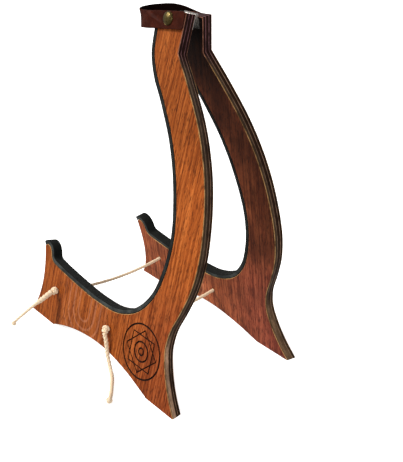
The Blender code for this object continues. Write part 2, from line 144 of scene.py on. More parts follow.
TAIL_ROUTE = {  # (x, y, z) in millimetres, from the knot to the end
    "front": [(-134.9, -136.6, 60), (-136.8, -146, 54.2), (-141.3, -155, 46.4),
              (-146.4, -164, 38.1), (-151.7, -173, 28.7), (-156.5, -181, 20),
              (-161, -187, 12.8), (-163, -189.4, 9.2)],
    "rear": [(21.6, -132, 53.8), (26, -132.9, 46.5), (29, -133.6, 36), (33.1, -134.8, 25.4),
             (39.1, -136.4, 16), (46, -138.6, 8.9), (54.5, -142.2, 4.9), (64, -147.6, 3.9),
             (73, -154, 3.8), (83, -161.8, 3.8), (94, -170.6, 3.8), (102.4, -177.8, 4),
             (106.5, -181.9, 4.7)],
}
INTO_KNOT = 4 * MM  # how far a tail's twisted strands run on into its knot

HINGE_SCREWS = [(29, -13.6), (37, -8.8), (45, -13.6)]  # (x, y) in millimetres
SCREW_R = 1.5 * MM
SCREW_HEAD_R = 3.0 * MM
SCREW_LENGTH = 12 * MM
LEAF_T = 1.5 * MM
LEAF_INNER_W = INNER_W - 1.8 * MM

STRAP_T = 2 * MM
STRAP_WIDTH = 25.4 * MM
FLAP_W = OUTER_W + 3.4 * MM
TAB_W = OUTER_W + 1.3 * MM
TAB_RUN = [(50, 545), (32, 547.3), (14, 549.5), (-3, 551.6)]  # (x, height) in millimetres
LOOP_RUN = [(-28, 25.5, 540), (-45, 19, 538), (-55, 5, 536), (-56, -9, 534),
            (-47.5, -22, 531.6)]
FLAP_RUN = [(-28, 544), (-2, 547.8), (24, 551.3), (50, 554.7)]
LOOP_LEAN = 0.5  # how far the loop's top edge leans forward, per unit height
LEAN_EASE = 0.3  # share of the loop's length over which the lean comes in
FLAP_STRETCH = 3 * MM  # how far the flap's end reaches past its route
END_SLANT = 0.05  # how much further its upper edge reaches, per unit of width
STRETCH_RUN = 20 * MM  # length over which that stretch comes in
STRAP_STEP = 1.4 * MM
STRAP_CORNER = 3 * MM  # rounding of the strap's four corners
FLESH_SHIFT = 0.1  # moves the flesh side to another part of the leather's pattern
TAB_MARGIN = 2 * MM  # from the tab's last point to where the loop begins to turn
TAB_SCREWS = [(6, 550.4), (36, 546.7)]
TAB_SCREW_HEAD_R = 4 * MM
TAB_SCREW_LENGTH = 14 * MM
SNAP_AT = (21.5 * MM, 553 * MM - PIN_HEIGHT)
CAP_R = 10 * MM
CAP_HEIGHT = 4.4 * MM
SOCKET_RING = [  # (radius, depth) in millimetres, over the top of the socket
    (3.35, 0.15), (3.6, 0), (4.6, 0), (4.9, 0.25), (5.3, 0.25), (5.6, 0), (5.9, 0.15)]
STUD_BASE = [  # (radius, height) in millimetres, from the stud's neck to its nail
    (1.6, 0.6), (2.2, 0.4), (4.3, 0.4), (4.5, 0.2), (4.4, 0.0), (1.1, 0.0), (1.1, -6), (0.0, -7)]

# ---- camera ----

CAMERA_AT = (0.8782, -0.7417, 0.7298)
CAMERA_AZIMUTH = radians(46.76)
CAMERA_PITCH = radians(24.81)
CAMERA_ROLL = radians(3.86)
CAMERA_LENS = 60.0


def in_scene(item):
    bpy.context.scene.collection.objects.link(item)
    return item


def make_camera():
    camera = in_scene(bpy.data.objects.new("camera", bpy.data.cameras.new("camera")))
    camera.data.lens = CAMERA_LENS
    camera.data.clip_start = 0.05
    camera.data.clip_end = 100
    turn = Matrix.Rotation(CAMERA_AZIMUTH, 4, "Z") @ Matrix.Rotation(pi / 2 - CAMERA_PITCH, 4, "X")
    roll = Matrix.Rotation(CAMERA_ROLL, 4, "Z")
    camera.matrix_world = Matrix.Translation(CAMERA_AT) @ turn @ roll
    bpy.context.scene.camera = camera


make_camera()

# ---- lines and meshes ----

def gently(share):
    """A share from 0 to 1, starting and ending gently."""
    share = min(1.0, max(0.0, share))
    return share * share * (3 - 2 * share)


def smooth_run(points, spacing):
    """A smooth line through the points: Catmull-Rom by chord lengths, at about that spacing."""
    points = [Vector(p) for p in points]
    chords = [(b - a).length for a, b in zip(points, points[1:])]
    slopes = [(points[1] - points[0]) / chords[0]]
    for i in range(1, len(points) - 1):
        into = (points[i] - points[i - 1]) / chords[i - 1]
        out = (points[i + 1] - points[i]) / chords[i]
        slopes.append(into.lerp(out, chords[i - 1] / (chords[i - 1] + chords[i])))
    slopes.append((points[-1] - points[-2]) / chords[-1])
    line = []
    for i, chord in enumerate(chords):
        steps = max(1, round(chord / spacing))
        for step in range(steps):
            u = step / steps
            line.append(points[i] * (2 * u ** 3 - 3 * u ** 2 + 1)
                        + slopes[i] * chord * (u ** 3 - 2 * u ** 2 + u)
                        + points[i + 1] * (3 * u ** 2 - 2 * u ** 3)
                        + slopes[i + 1] * chord * (u ** 3 - u ** 2))
    line.append(points[-1])
    return line


def lengths_along(points):
    lengths = [0.0]
    for a, b in zip(points, points[1:]):
        lengths.append(lengths[-1] + (b - a).length)
    return lengths


def even_line(points, spacing):
    """The same line with its points evenly spaced."""
    lengths = lengths_along(points)
    count = max(2, round(lengths[-1] / spacing))
    line = []
    i = 0
    for step in range(count + 1):
        target = lengths[-1] * step / count
        while i < len(points) - 2 and lengths[i + 1] < target:
            i += 1
        share = (target - lengths[i]) / (lengths[i + 1] - lengths[i])
        line.append(points[i].lerp(points[i + 1], share))
    return line


def length_of(points):
    return sum((b - a).length for a, b in zip(points, points[1:]))


def closed_smooth(loop, spacing):
    """A closed outline redrawn with smooth curves, its sharp corners slightly rounded."""
    count = len(loop)
    corners = []
    for i, point in enumerate(loop):
        turn = (point - loop[i - 1]).angle_signed(loop[(i + 1) % count] - point)
        if abs(turn) > CORNER_TURN:
            corners.append(i)
    runs = []
    for start, stop in zip(corners, corners[1:] + [corners[0] + count]):
        run = smooth_run([loop[i % count] for i in range(start, stop + 1)], spacing)
        ease = min(CORNER_EASE, length_of(run) / 3)
        kept = [p for p in run if (p - run[0]).length > ease and (p - run[-1]).length > ease]
        first = run[0] + (run[1] - run[0]).normalized() * ease
        last = run[-1] + (run[-2] - run[-1]).normalized() * ease
        runs.append((run[0], [first] + kept + [last]))
    line = []
    for i, (corner, run) in enumerate(runs):
        before, after = runs[i - 1][1][-1], run[0]
        for step in range(1, CORNER_STEPS):
            u = step / CORNER_STEPS
            line.append(before * (1 - u) ** 2 + corner * 2 * u * (1 - u) + after * u ** 2)
        line += run
    return line


def face_loops(node, side, w):
    """The closed outlines of a node's flat face at distance w from the pin, longest first."""
    to_panel = panel_matrix(side).inverted()
    mesh = frame["nodes"][node].data
    places = [to_panel @ vertex.co for vertex in mesh.vertices]
    keys = [(round(p.x, 6), round(p.y, 6)) for p in places]
    edges = {}
    for polygon in mesh.polygons:
        ring = list(polygon.vertices)
        if all(abs(abs(places[i].z) - w) < 0.05 * MM for i in ring):
            for a, b in zip(ring, ring[1:] + ring[:1]):
                edges[keys[a], keys[b]] = True
    follows = {a: b for a, b in edges if (b, a) not in edges}
    loops = []
    while follows:
        start, following = follows.popitem()
        loop = [start]
        while following != start:
            loop.append(following)
            following = follows.pop(following)
        loops.append([Vector(key) for key in loop])
    return sorted(loops, key=length_of, reverse=True)


def wound(loop, anticlockwise):
    area = sum(a.x * b.y - b.x * a.y for a, b in zip(loop, loop[1:] + loop[:1]))
    return loop if (area > 0) == anticlockwise else loop[::-1]


def inset(loop, distance):
    """A closed loop moved to its left by a distance, with mitred corners."""
    moved = []
    for i, point in enumerate(loop):
        into = (point - loop[i - 1]).normalized()
        out = (loop[(i + 1) % len(loop)] - point).normalized()
        left = Vector((-into.y, into.x)) + Vector((-out.y, out.x))
        moved.append(point + left * (distance / max(0.4, 1 + into.dot(out))))
    return moved


def new_piece(name, vertices, faces, materials, indices=None):
    mesh = bpy.data.meshes.new(name)
    mesh.from_pydata(vertices, [], faces)
    for material in materials:
        mesh.materials.append(material)
    if indices:
        mesh.polygons.foreach_set("material_index", indices)
    return in_scene(bpy.data.objects.new(name, mesh))


def modify(item, kind, **settings):
    made = item.modifiers.new(kind.lower(), kind)
    for key, value in settings.items():
        setattr(made, key, value)


def shade(piece, angle=35):
    piece.data.shade_smooth()
    piece.data.set_sharp_from_angle(angle=radians(angle))
    modify(piece, "WEIGHTED_NORMAL", keep_sharp=True)
    return piece


def mesh_of(item):
    """The item's mesh, with its modifiers applied."""
    evaluated = item.evaluated_get(bpy.context.evaluated_depsgraph_get())
    return bpy.data.meshes.new_from_object(evaluated)


def bake(piece):
    mesh = mesh_of(piece)
    piece.modifiers.clear()
    piece.data = mesh


@contextmanager
def edited(piece):
    """The piece's mesh as a bmesh, written back at the end."""
    shape = bmesh.new()
    shape.from_mesh(piece.data)
    yield shape
    shape.to_mesh(piece.data)
    shape.free()


def outward(piece):
    with edited(piece) as shape:
        bmesh.ops.recalc_face_normals(shape, faces=shape.faces)
    return piece


def stand_in(piece, nodes, body=None):
    """Let a piece take the place of its CAD nodes, and ride on its body."""
    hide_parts(*nodes)
    if body:
        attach(piece, body)


def slab(name, loops, side, rings, materials):
    """A plate between closed loops, in its panel's frame. Rings are (inset, w) down its rim.

    Its two flat sides take the first material, and its rim the second.
    """
    vertices = []
    faces = []
    indices = []
    caps = {0: [], len(rings) - 1: []}
    cap_ids = {0: [], len(rings) - 1: []}
    for loop in loops:
        start = len(vertices)
        count = len(loop)
        for number, (distance, w) in enumerate(rings):
            ring = inset(loop, distance)
            if number in caps:
                caps[number].append([Vector((p.x, p.y, 0)) for p in ring])
                cap_ids[number] += range(len(vertices), len(vertices) + count)
            vertices += [in_frame(side, p.x, p.y, w) for p in ring]
        for number in range(len(rings) - 1):
            low = start + number * count
            for i in range(count):
                j = (i + 1) % count
                faces.append((low + i, low + j, low + count + j, low + count + i))
                indices.append(1)
    for number, outlines in caps.items():
        for triangle in tessellate_polygon(outlines):
            faces.append([cap_ids[number][i] for i in triangle])
            indices.append(0)
    piece = outward(new_piece(name, vertices, faces, materials, indices))
    piece.matrix_world = panel_matrix(side)
    return piece


def eased(low, high, ease, steps=4):
    """Rings (inset, w) of a rim with rounded edges, from its high side to its low side."""
    quarter = [pi / 2 * i / steps for i in range(steps + 1)]
    top = [(ease * (1 - sin(a)), high - ease * (1 - cos(a))) for a in quarter]
    bottom = [(ease * (1 - cos(a)), low + ease * (1 - sin(a))) for a in quarter]
    return top + bottom


def tangent_at(points, i):
    return (points[min(i + 1, len(points) - 1)] - points[max(i - 1, 0)]).normalized()


def frames_along(points, up):
    """Sideways and upward directions at each point, turned no more than the line turns."""
    tangents = [tangent_at(points, i) for i in range(len(points))]
    across = (up - tangents[0] * up.dot(tangents[0])).normalized()
    frames = []
    for i, tangent in enumerate(tangents):
        if i:
            across = tangents[i - 1].rotation_difference(tangent) @ across
            across = (across - tangent * across.dot(tangent)).normalized()
        frames.append((across, tangent.cross(across)))
    return frames


def skin(name, rows, materials, closed=False, uvs=None):
    """A closed skin over rows of points, with fans over its two ends unless it is a ring."""
    count = len(rows[0])
    vertices = [point for row in rows for point in row]
    faces = []
    for i in range(len(rows) if closed else len(rows) - 1):
        low = i * count
        high = (i + 1) % len(rows) * count
        for j in range(count):
            k = (j + 1) % count
            faces.append((low + j, low + k, high + k, high + j))
    if not closed:
        for row, base in ((rows[0], 0), (rows[-1], (len(rows) - 1) * count)):
            middle = sum((Vector(p) for p in row), Vector()) / count
            vertices.append(middle)
            for j in range(count):
                faces.append((base + j, base + (j + 1) % count, len(vertices) - 1))
    piece = new_piece(name, vertices, faces, materials)
    if uvs:
        layer = piece.data.uv_layers.new(name="length")
        for loop in piece.data.loops:
            index = loop.vertex_index
            layer.data[loop.index].uv = uvs[index] if index < len(uvs) else uvs[-1]
    return outward(piece)


def turned(name, profile, materials, side, place, away=True, around=64, ring=False):
    """A round piece on a panel: (radius, height) from top to bottom, height away from the stand."""
    turns = [tau * j / around for j in range(around)]
    rows = [[Vector((r * cos(a), r * sin(a), z)) for a in turns] for r, z in profile]
    piece = skin(name, rows, materials, closed=ring)
    flip = Matrix.Identity(4) if (side == "left") == away else Matrix.Rotation(pi, 4, "X")
    piece.matrix_world = placed_at(side, *place) @ flip
    return piece


def cross_cutters(piece, reach, width, depth, top):
    """Two bars that cut a cross recess in the top of a turned piece."""
    bars = []
    for size in ((reach, width), (width, reach)):
        corners = [(sx * size[0] / 2, sy * size[1] / 2, z) for z in (top - depth, top + depth)
                   for sx, sy in ((-1, -1), (1, -1), (1, 1), (-1, 1))]
        faces = [(0, 1, 2, 3), (7, 6, 5, 4), (0, 4, 5, 1), (1, 5, 6, 2), (2, 6, 7, 3),
                 (3, 7, 4, 0)]
        bar = outward(new_piece("slot", corners, faces, []))
        bar.matrix_world = piece.matrix_world
        bars.append(bar)
    return bars


# ---- materials ----

ARCH_AT = (-52 * MM, 59 * MM - PIN_HEIGHT)  # middle of the veneer's U-shaped figure
ARCH_R = 29 * MM
ARCH_STEP = 14.5 * MM
FLOOR_GLOW = 0.74  # a light-table floor, so that it stays white in the shadows


class Look:
    """A material, and short calls that add nodes to it."""

    def __init__(self, name, roughness, metallic=0.0, **sockets):
        self.material = bpy.data.materials.new(name)
        self.material.use_nodes = True
        self.tree = self.material.node_tree
        self.shader = self.tree.nodes["Principled BSDF"]
        sockets.update(Roughness=roughness, Metallic=metallic)
        for label, value in sockets.items():
            self.shader.inputs[label.replace("_", " ")].default_value = value

    def node(self, kind, inputs=(), **settings):
        made = self.tree.nodes.new(kind)
        for key, value in settings.items():
            setattr(made, key, value)
        for key, value in dict(inputs).items():
            if isinstance(value, bpy.types.NodeSocket):
                self.tree.links.new(value, made.inputs[key])
            else:
                made.inputs[key].default_value = value
        return made

    def place(self, output="Object"):
        return self.node("ShaderNodeTexCoord").outputs[output]

    def axes(self, vector):
        return self.node("ShaderNodeSeparateXYZ", {"Vector": vector}).outputs

    def stretched(self, vector, scale, shift=(0, 0, 0)):
        inputs = {"Vector": vector, "Scale": scale, "Location": shift}
        return self.node("ShaderNodeMapping", inputs).outputs["Vector"]

    def noise(self, vector, scale, detail=2.0, roughness=0.5, distortion=0.0):
        inputs = {"Vector": vector, "Scale": scale, "Detail": detail, "Roughness": roughness,
                  "Distortion": distortion}
        return self.node("ShaderNodeTexNoise", inputs).outputs["Fac"]

    def drawn_out(self, vector, scale, detail, roughness=0.5, distortion=0.0):
        return self.noise(self.stretched(vector, scale), 1.0, detail, roughness, distortion)

    def cells(self, vector, scale, feature="F1"):
        inputs = {"Vector": vector, "Scale": scale}
        return self.node("ShaderNodeTexVoronoi", inputs, feature=feature).outputs["Distance"]

    def calc(self, operation, a, b=0.0, c=0.0):
        return self.node("ShaderNodeMath", {0: a, 1: b, 2: c}, operation=operation).outputs[0]

    def plus(self, a, b):
        return self.calc("ADD", a, b)

    def scaled(self, a, factor, shift):
        return self.calc("MULTIPLY_ADD", a, factor, shift)

    def times(self, a, b):
        return self.calc("MULTIPLY", a, b)

    def vectors(self, operation, a, b):
        return self.node("ShaderNodeVectorMath", {0: a, 1: b}, operation=operation).outputs[0]

    def ranged(self, value, low, high, to_low=0.0, to_high=1.0):
        inputs = {"Value": value, "From Min": low, "From Max": high, "To Min": to_low,
                  "To Max": to_high}
        made = self.node("ShaderNodeMapRange", inputs, interpolation_type="SMOOTHSTEP")
        return made.outputs["Result"]

    def mix(self, share, a, b, blend="MIX"):
        a, b = [(*c, 1) if isinstance(c, tuple) else c for c in (a, b)]
        return self.node("ShaderNodeMix", {0: share, 6: a, 7: b}, data_type="RGBA",
                         blend_type=blend).outputs[2]

    def tinted(self, colour, tint):
        return self.mix(1.0, colour, tint, "MULTIPLY")

    def ramp(self, value, stops):
        """Colours along a value, from stops (position, colour or grey)."""
        made = self.node("ShaderNodeValToRGB", {"Fac": value})
        elements = made.color_ramp.elements
        while len(elements) < len(stops):
            elements.new(0.5)
        for element, (position, colour) in zip(elements, stops):
            element.position = position
            element.color = (*colour, 1) if isinstance(colour, tuple) else (colour,) * 3 + (1,)
        return made.outputs["Color"]

    def arches(self, axes, warp_place):
        """Nested U-shaped lines of plain-sawn veneer, low down in front of the arm."""
        wobble = self.noise(warp_place, 24)
        across = self.plus(axes["X"], -ARCH_AT[0])
        below = self.calc("MINIMUM", self.plus(axes["Y"], -ARCH_AT[1]), 0.0)
        reach = self.scaled(across, across, self.times(below, below))
        reach = self.calc("SQRT", reach)
        start = self.scaled(wobble, 2.6, -1.3 - tau * ARCH_R / ARCH_STEP)
        wave = self.calc("COSINE", self.scaled(reach, tau / ARCH_STEP, start))
        lines = self.ranged(wave, 0.35, 1.0, 0.05, 0.5)
        lines = self.times(lines, self.ranged(reach, 0.010, 0.016))
        beside = self.ranged(self.calc("ABSOLUTE", across), 0.035, 0.072, 1.0, 0.0)
        low = self.ranged(axes["Y"], -0.455, -0.475)
        return self.times(self.times(beside, low), lines)

    def colour(self, socket):
        self.tree.links.new(socket, self.shader.inputs["Base Color"])

    def rough(self, socket):
        self.tree.links.new(socket, self.shader.inputs["Roughness"])

    def bump(self, height, distance, strength):
        inputs = {"Height": height, "Distance": distance, "Strength": strength}
        made = self.node("ShaderNodeBump", inputs)
        self.tree.links.new(made.outputs["Normal"], self.shader.inputs["Normal"])


def veneer(name, pale, mid, deep, fleck, seed, cloudy, shades):
    """Stained open-grained veneer. The grain runs up the panel, with an arched figure low down.

    Shades are (y, tone): how much darker or lighter the veneer is painted at heights down from the
    pin.
    """
    look = Look(name, 0.42, Specular_IOR_Level=0.08)
    place = look.place()
    axes = look.axes(place)
    shifted = look.stretched(place, (1, 1, 1), (seed, seed * 0.37, seed * 0.11))
    wander = look.drawn_out(shifted, (5, 1.8, 5), 2.0)
    sway = look.node("ShaderNodeCombineXYZ", {"X": look.times(wander, 0.016)})
    grain = look.vectors("ADD", shifted, sway.outputs[0])
    bands = look.drawn_out(grain, (48, 1.6, 48), 2.0)
    streaks = look.drawn_out(grain, (340, 9, 340), 3.0, 0.65)
    flecks = look.drawn_out(grain, (480, 90, 480), 2.0, 0.55)
    pores = look.drawn_out(grain, (1300, 110, 1300), 1.0)
    fibres = look.drawn_out(grain, (2200, 60, 2200), 2.0, 0.6)
    body = look.ramp(look.ranged(streaks, 0.34, 0.66), [(0.0, deep), (0.45, mid), (1.0, pale)])
    body = look.mix(look.ranged(bands, 0.35, 0.7, 0.0, 0.45), body, mid)
    body = look.mix(look.arches(axes, shifted), body, (0.60, 0.23, 0.115))
    body = look.mix(look.times(look.ranged(flecks, 0.54, 0.66), 0.6), body, fleck)
    body = look.mix(look.ranged(pores, 0.6, 0.72, 0.0, 0.6), body, fleck)
    tone = look.ramp(fibres, [(0.3, (0.84, 0.83, 0.82)), (0.7, (1.15, 1.13, 1.1))])
    body = look.tinted(body, tone)
    clouds = look.drawn_out(shifted, (30, 17, 30), 4.0, 0.6, 0.8)
    body = look.tinted(body, look.ranged(clouds, 0.35, 0.65, 1 - cloudy, 1 + cloudy))
    rear = look.ranged(look.plus(axes["X"], look.times(wander, 0.06)), 0.06, 0.2)
    low = look.ranged(axes["Y"], -0.32, -0.46)
    reddened = look.times(look.times(rear, low), 0.75)
    body = look.mix(reddened, body, look.tinted(body, (0.76, 0.62, 0.95)))
    # Painted darker or lighter by height; on the inner veneer this is painted shade and light.
    height = look.scaled(axes["Y"], 1 / PIN_HEIGHT, 1.0)
    stain_and_shade = look.ramp(height, [(1 + y / PIN_HEIGHT, shade) for y, shade in shades])
    look.colour(look.tinted(body, stain_and_shade))
    look.rough(look.ranged(fibres, 0.25, 0.75, 0.36, 0.5))
    relief = look.calc("SUBTRACT", look.times(fibres, 0.3), look.ranged(flecks, 0.54, 0.66))
    look.bump(relief, 0.1 * MM, 0.5)
    return look.material


def ply_edge(name, worn, foot, foot_tone):
    """The dark stained edge of the plywood: pale glue plies, bare corners with a painted highlight,
    a greyed band.

    Worn and foot are stops (share of the thickness, strength) of the bands greyed by handling.
    """
    look = Look(name, 0.6, Specular_IOR_Level=0.06)
    place = look.place()
    axes = look.axes(place)
    wobble = look.noise(place, 60, 3.0)
    depth = look.calc("ABSOLUTE", axes["Z"])
    depth = look.scaled(depth, 1 / PANEL_T, -INNER_W / PANEL_T)
    depth = look.plus(depth, look.scaled(wobble, 0.05, -0.025))
    dark, darker = (0.040, 0.016, 0.007), (0.013, 0.0045, 0.002)
    # The pale corners are worn bare wood and a painted highlight where the rounding catches light.
    pale, bare_and_highlight = (0.34, 0.215, 0.145), (0.52, 0.30, 0.12)
    first, second = GLUE_LINES
    layers = look.ramp(depth, [
        (0.0, bare_and_highlight), (0.045, bare_and_highlight), (0.075, dark),
        (first - 0.035, darker), (first - 0.015, pale), (first + 0.015, pale),
        (first + 0.035, dark), (second - 0.035, darker), (second - 0.015, pale),
        (second + 0.02, pale), (second + 0.045, dark), (0.91, darker), (0.95, bare_and_highlight), (1.0, bare_and_highlight)])
    wear = look.noise(look.stretched(place, (1, 1, 3)), 38, 4.0, 0.65)
    layers = look.mix(look.ranged(wear, 0.42, 0.66, 0.0, 0.8), layers, darker)
    greyed = look.ramp(depth, worn)
    patchy = look.ranged(wear, 0.3, 0.6, 0.85, 0.35)
    top = look.ranged(axes["Y"], -0.08, -0.05)
    greyed = look.times(greyed, look.calc("SUBTRACT", 1.0, top))
    layers = look.mix(look.times(greyed, patchy), layers, (0.10, 0.068, 0.042))
    low = look.ranged(axes["Y"], -0.445, -0.485)
    band = look.ramp(depth, foot)
    rubbed = look.ranged(wear, 0.32, 0.62, 0.95, 0.45)
    layers = look.mix(look.times(look.times(band, low), rubbed), layers, foot_tone)
    layers = look.mix(top, layers, look.tinted(layers, (0.8, 0.6, 1.0)))
    speckle = look.noise(look.stretched(place, (1, 1, 8)), 240, 2.0, 0.6)
    tone = look.ramp(speckle, [(0.3, (0.6, 0.6, 0.6)), (0.7, (1.4, 1.35, 1.3))])
    look.colour(look.tinted(layers, tone))
    look.rough(look.ranged(speckle, 0.3, 0.7, 0.42, 0.6))
    look.bump(speckle, 0.12 * MM, 0.5)
    return look.material


def burnt():
    look = Look("burnt_line", 0.85, Specular_IOR_Level=0.1)
    char = look.noise(look.place(), 900, 3.0, 0.6)
    look.colour(look.ramp(char, [(0.3, (0.006, 0.002, 0.001)), (0.75, (0.035, 0.010, 0.005))]))
    look.bump(char, 0.08 * MM, 0.5)
    return look.material


def foam(name, low, high, arm_shade):
    """Closed-cell foam rubber, fine pores, a few rubbed patches; painted shade up the arm and in
    the pores.
    """
    look = Look(name, 0.85, Specular_IOR_Level=0.08)
    place = look.place()
    pores = look.cells(place, 1500)
    rubbed = look.noise(place, 55, 4.0, 0.6)
    tone = look.mix(look.ranged(rubbed, 0.35, 0.72), low, high)
    # Painted shade in the pores.
    tone = look.mix(look.ranged(pores, 0.05, 0.5, 0.5, 0.0), tone, (0.004, 0.004, 0.004))
    height = look.axes(place)["Y"]
    # Painted shade: darker up the arm.
    look.colour(look.tinted(tone, look.ranged(height, -0.45, -0.38, 1.0, arm_shade)))
    look.rough(look.ranged(rubbed, 0.3, 0.75, 0.7, 0.92))
    look.bump(look.plus(pores, look.times(rubbed, 1.5)), 0.2 * MM, 0.7)
    return look.material


def metal(name, bright, dull, roughness, scale):
    """Metal with fine scuffs and a patina that gathers in blotches."""
    look = Look(name, roughness, 1.0)
    place = look.place()
    patina = look.noise(place, scale, 4.0, 0.62)
    scuffs = look.drawn_out(place, (2600, 160, 2600), 2.0)
    look.colour(look.mix(look.ranged(patina, 0.4, 0.7), bright, dull))
    look.rough(look.ranged(look.plus(patina, look.times(scuffs, 0.4)), 0.45, 1.0,
                           roughness - 0.08, roughness + 0.16))
    look.bump(scuffs, 0.02 * MM, 0.35)
    return look.material


def leather(name, pale, dark, roughness, grain_depth, gloss):
    """Leather: creased cells, pores, and colour that wears paler on its high spots."""
    look = Look(name, roughness, Specular_IOR_Level=gloss)
    place = look.place("UV")
    drift = look.node("ShaderNodeTexNoise", {"Vector": place, "Scale": 120.0}).outputs["Color"]
    bent = look.vectors("ADD", place, look.vectors("MULTIPLY", drift, (0.004, 0.004, 0.0)))
    creases = look.ranged(look.cells(bent, 720, "DISTANCE_TO_EDGE"), 0.0, 0.16)
    rub = look.noise(place, 70, 4.0, 0.6)
    soil = look.drawn_out(place, (26, 60, 1), 3.0, 0.6)
    tone = look.mix(look.ranged(rub, 0.35, 0.75), dark, pale)
    tone = look.mix(look.ranged(soil, 0.4, 0.75, 0.0, 0.55), tone, dark)
    # Painted shade in the creases between the grain's cells.
    sunk = look.times(look.calc("SUBTRACT", 1.0, creases), 0.5)
    tone = look.mix(sunk, tone, (0.012, 0.004, 0.003))
    look.colour(tone)
    look.rough(look.ranged(rub, 0.3, 0.7, roughness + 0.08, roughness - 0.07))
    look.bump(look.plus(creases, look.times(rub, 0.8)), grain_depth, 0.55)
    return look.material


def jute():
    """Twisted jute: fibres along the strands, with painted shade in the grooves between them."""
    look = Look("jute", 0.9, Specular_IOR_Level=0.25)
    place = look.place("UV")
    fibres = look.drawn_out(place, (90, 46, 1), 4.0, 0.7)
    patches = look.noise(look.place(), 110, 3.0, 0.6)
    high = look.node("ShaderNodeNewGeometry").outputs["Pointiness"]
    tone = look.mix(look.ranged(fibres, 0.3, 0.72), (0.82, 0.59, 0.37), (0.99, 0.86, 0.65))
    tone = look.mix(look.ranged(patches, 0.4, 0.75, 0.0, 0.3), tone, (0.86, 0.63, 0.40))
    # Painted shade in the grooves, where the surface is hollow.
    tone = look.mix(look.ranged(high, 0.40, 0.50, 0.6, 0.0), tone, (0.46, 0.27, 0.13))
    look.colour(tone)
    look.bump(fibres, 0.25 * MM, 0.8)
    return look.material


def floor_look():
    look = Look("floor", 0.8, Emission_Color=(1, 1, 1, 1), Emission_Strength=FLOOR_GLOW)
    mottle = look.noise(look.place(), 3.0, 3.0)
    look.colour(look.ramp(mottle, [(0.3, 0.86), (0.7, 0.89)]))
    return look.material


OUTER_WOOD = veneer(
    "outer_veneer", (0.54, 0.150, 0.030), (0.345, 0.080, 0.0135), (0.185, 0.037, 0.006),
    (0.048, 0.009, 0.002), 0.0, 0.07,
    [(-0.55, 0.84), (-0.4, 0.95), (-0.33, 1.1), (-0.22, 1.05), (-0.156, 0.8), (-0.1, 0.82),
     (-0.045, 0.88), (0.0, 0.88)])
# The inner faces: a darker copy of the veneer, its darkness painted shade; its shades paint deep
# shade by the hinge and light low down.
INNER_WOOD_PAINTED_SHADE = veneer(
    "inner_veneer_painted_shade", (0.42, 0.120, 0.046), (0.27, 0.068, 0.027), (0.150, 0.034, 0.015),
    (0.040, 0.009, 0.005), 3.1, 0.22,
    [(-0.5, 1.12), (-0.43, 1.0), (-0.36, 0.52), (-0.2, 0.58), (-0.12, 0.44), (-0.09, 0.2),
     (-0.03, 0.03)])
EDGE_WOOD = {
    "left": ply_edge("left_ply_edge", [(0.42, 0), (0.62, 1), (0.88, 0.9), (0.93, 0)],
                     [(0.5, 0), (0.58, 1), (0.87, 1), (0.92, 0)], (0.55, 0.34, 0.22)),
    "right": ply_edge("right_ply_edge", [(0.07, 0), (0.11, 1), (0.24, 0.9), (0.4, 0)],
                      [(0.09, 0), (0.14, 1), (0.5, 0.9), (0.85, 0.1)], (0.24, 0.145, 0.08)),
}
BURNT = burnt()
FOAM_TOP = foam("foam_top", (0.005, 0.0055, 0.005), (0.013, 0.014, 0.012), 0.8)
FOAM_SIDE = foam("foam_side", (0.026, 0.030, 0.029), (0.068, 0.076, 0.072), 0.4)
NICKEL = metal("nickel", (0.68, 0.65, 0.61), (0.40, 0.37, 0.34), 0.26, 160)
BRASS = metal("antique_brass", (0.17, 0.125, 0.044), (0.042, 0.030, 0.011), 0.3, 260)
LEATHER_OUT = leather("leather_grain_side", (0.088, 0.0165, 0.0075), (0.042, 0.008, 0.004),
                      0.4, 0.25 * MM, 0.03)
LEATHER_IN = leather("leather_flesh_side", (0.005, 0.002, 0.0015), (0.002, 0.001, 0.001),
                     0.9, 0.3 * MM, 0.01)
JUTE = jute()


# ---- ropes ----

def rope_rows(points, radius, taper, around=27):
    """Sections of three twisted strands along evenly spaced points, with their UVs."""
    rows = []
    uvs = []
    frames = frames_along(points, Vector((0.3, 0.2, 1)))
    for i, (point, (across, up), along) in enumerate(zip(points, frames, lengths_along(points))):
        row = []
        share = i / (len(points) - 1)
        thick = radius * tapered(taper, share)
        thick *= min(1.0, 1 + 0.07 * (noise.noise(point * 160) - 0.3))
        for j in range(around):
            lobe = tau * j / around
            strand = abs(cos(1.5 * lobe))
            yarn = 0.022 * cos(YARNS * lobe + tau * along / YARN_PITCH)
            r = thick * (0.70 + 0.28 * strand ** 0.8 + yarn)
            angle = lobe + tau * along / ROPE_PITCH
            row.append(point + across * (r * cos(angle)) + up * (r * sin(angle)))
            uvs.append((along * 10, j / around))
        rows.append(row)
    return rows, uvs


def tapered(profile, share):
    """The value at a share of the length, eased between (share, value) points."""
    for (start, value), (stop, following) in zip(profile, profile[1:]):
        if share <= stop:
            return value + (following - value) * gently((share - start) / (stop - start))
    return profile[-1][1]


def make_rope(name, points, node, radius=ROPE_R, taper=((0, 1.0), (1, 1.0))):
    rows, uvs = rope_rows(even_line(points, ROPE_STEP), radius, taper)
    piece = skin(name, rows, [JUTE], uvs=uvs)
    piece.data.shade_smooth()
    stand_in(piece, [node])
    return piece


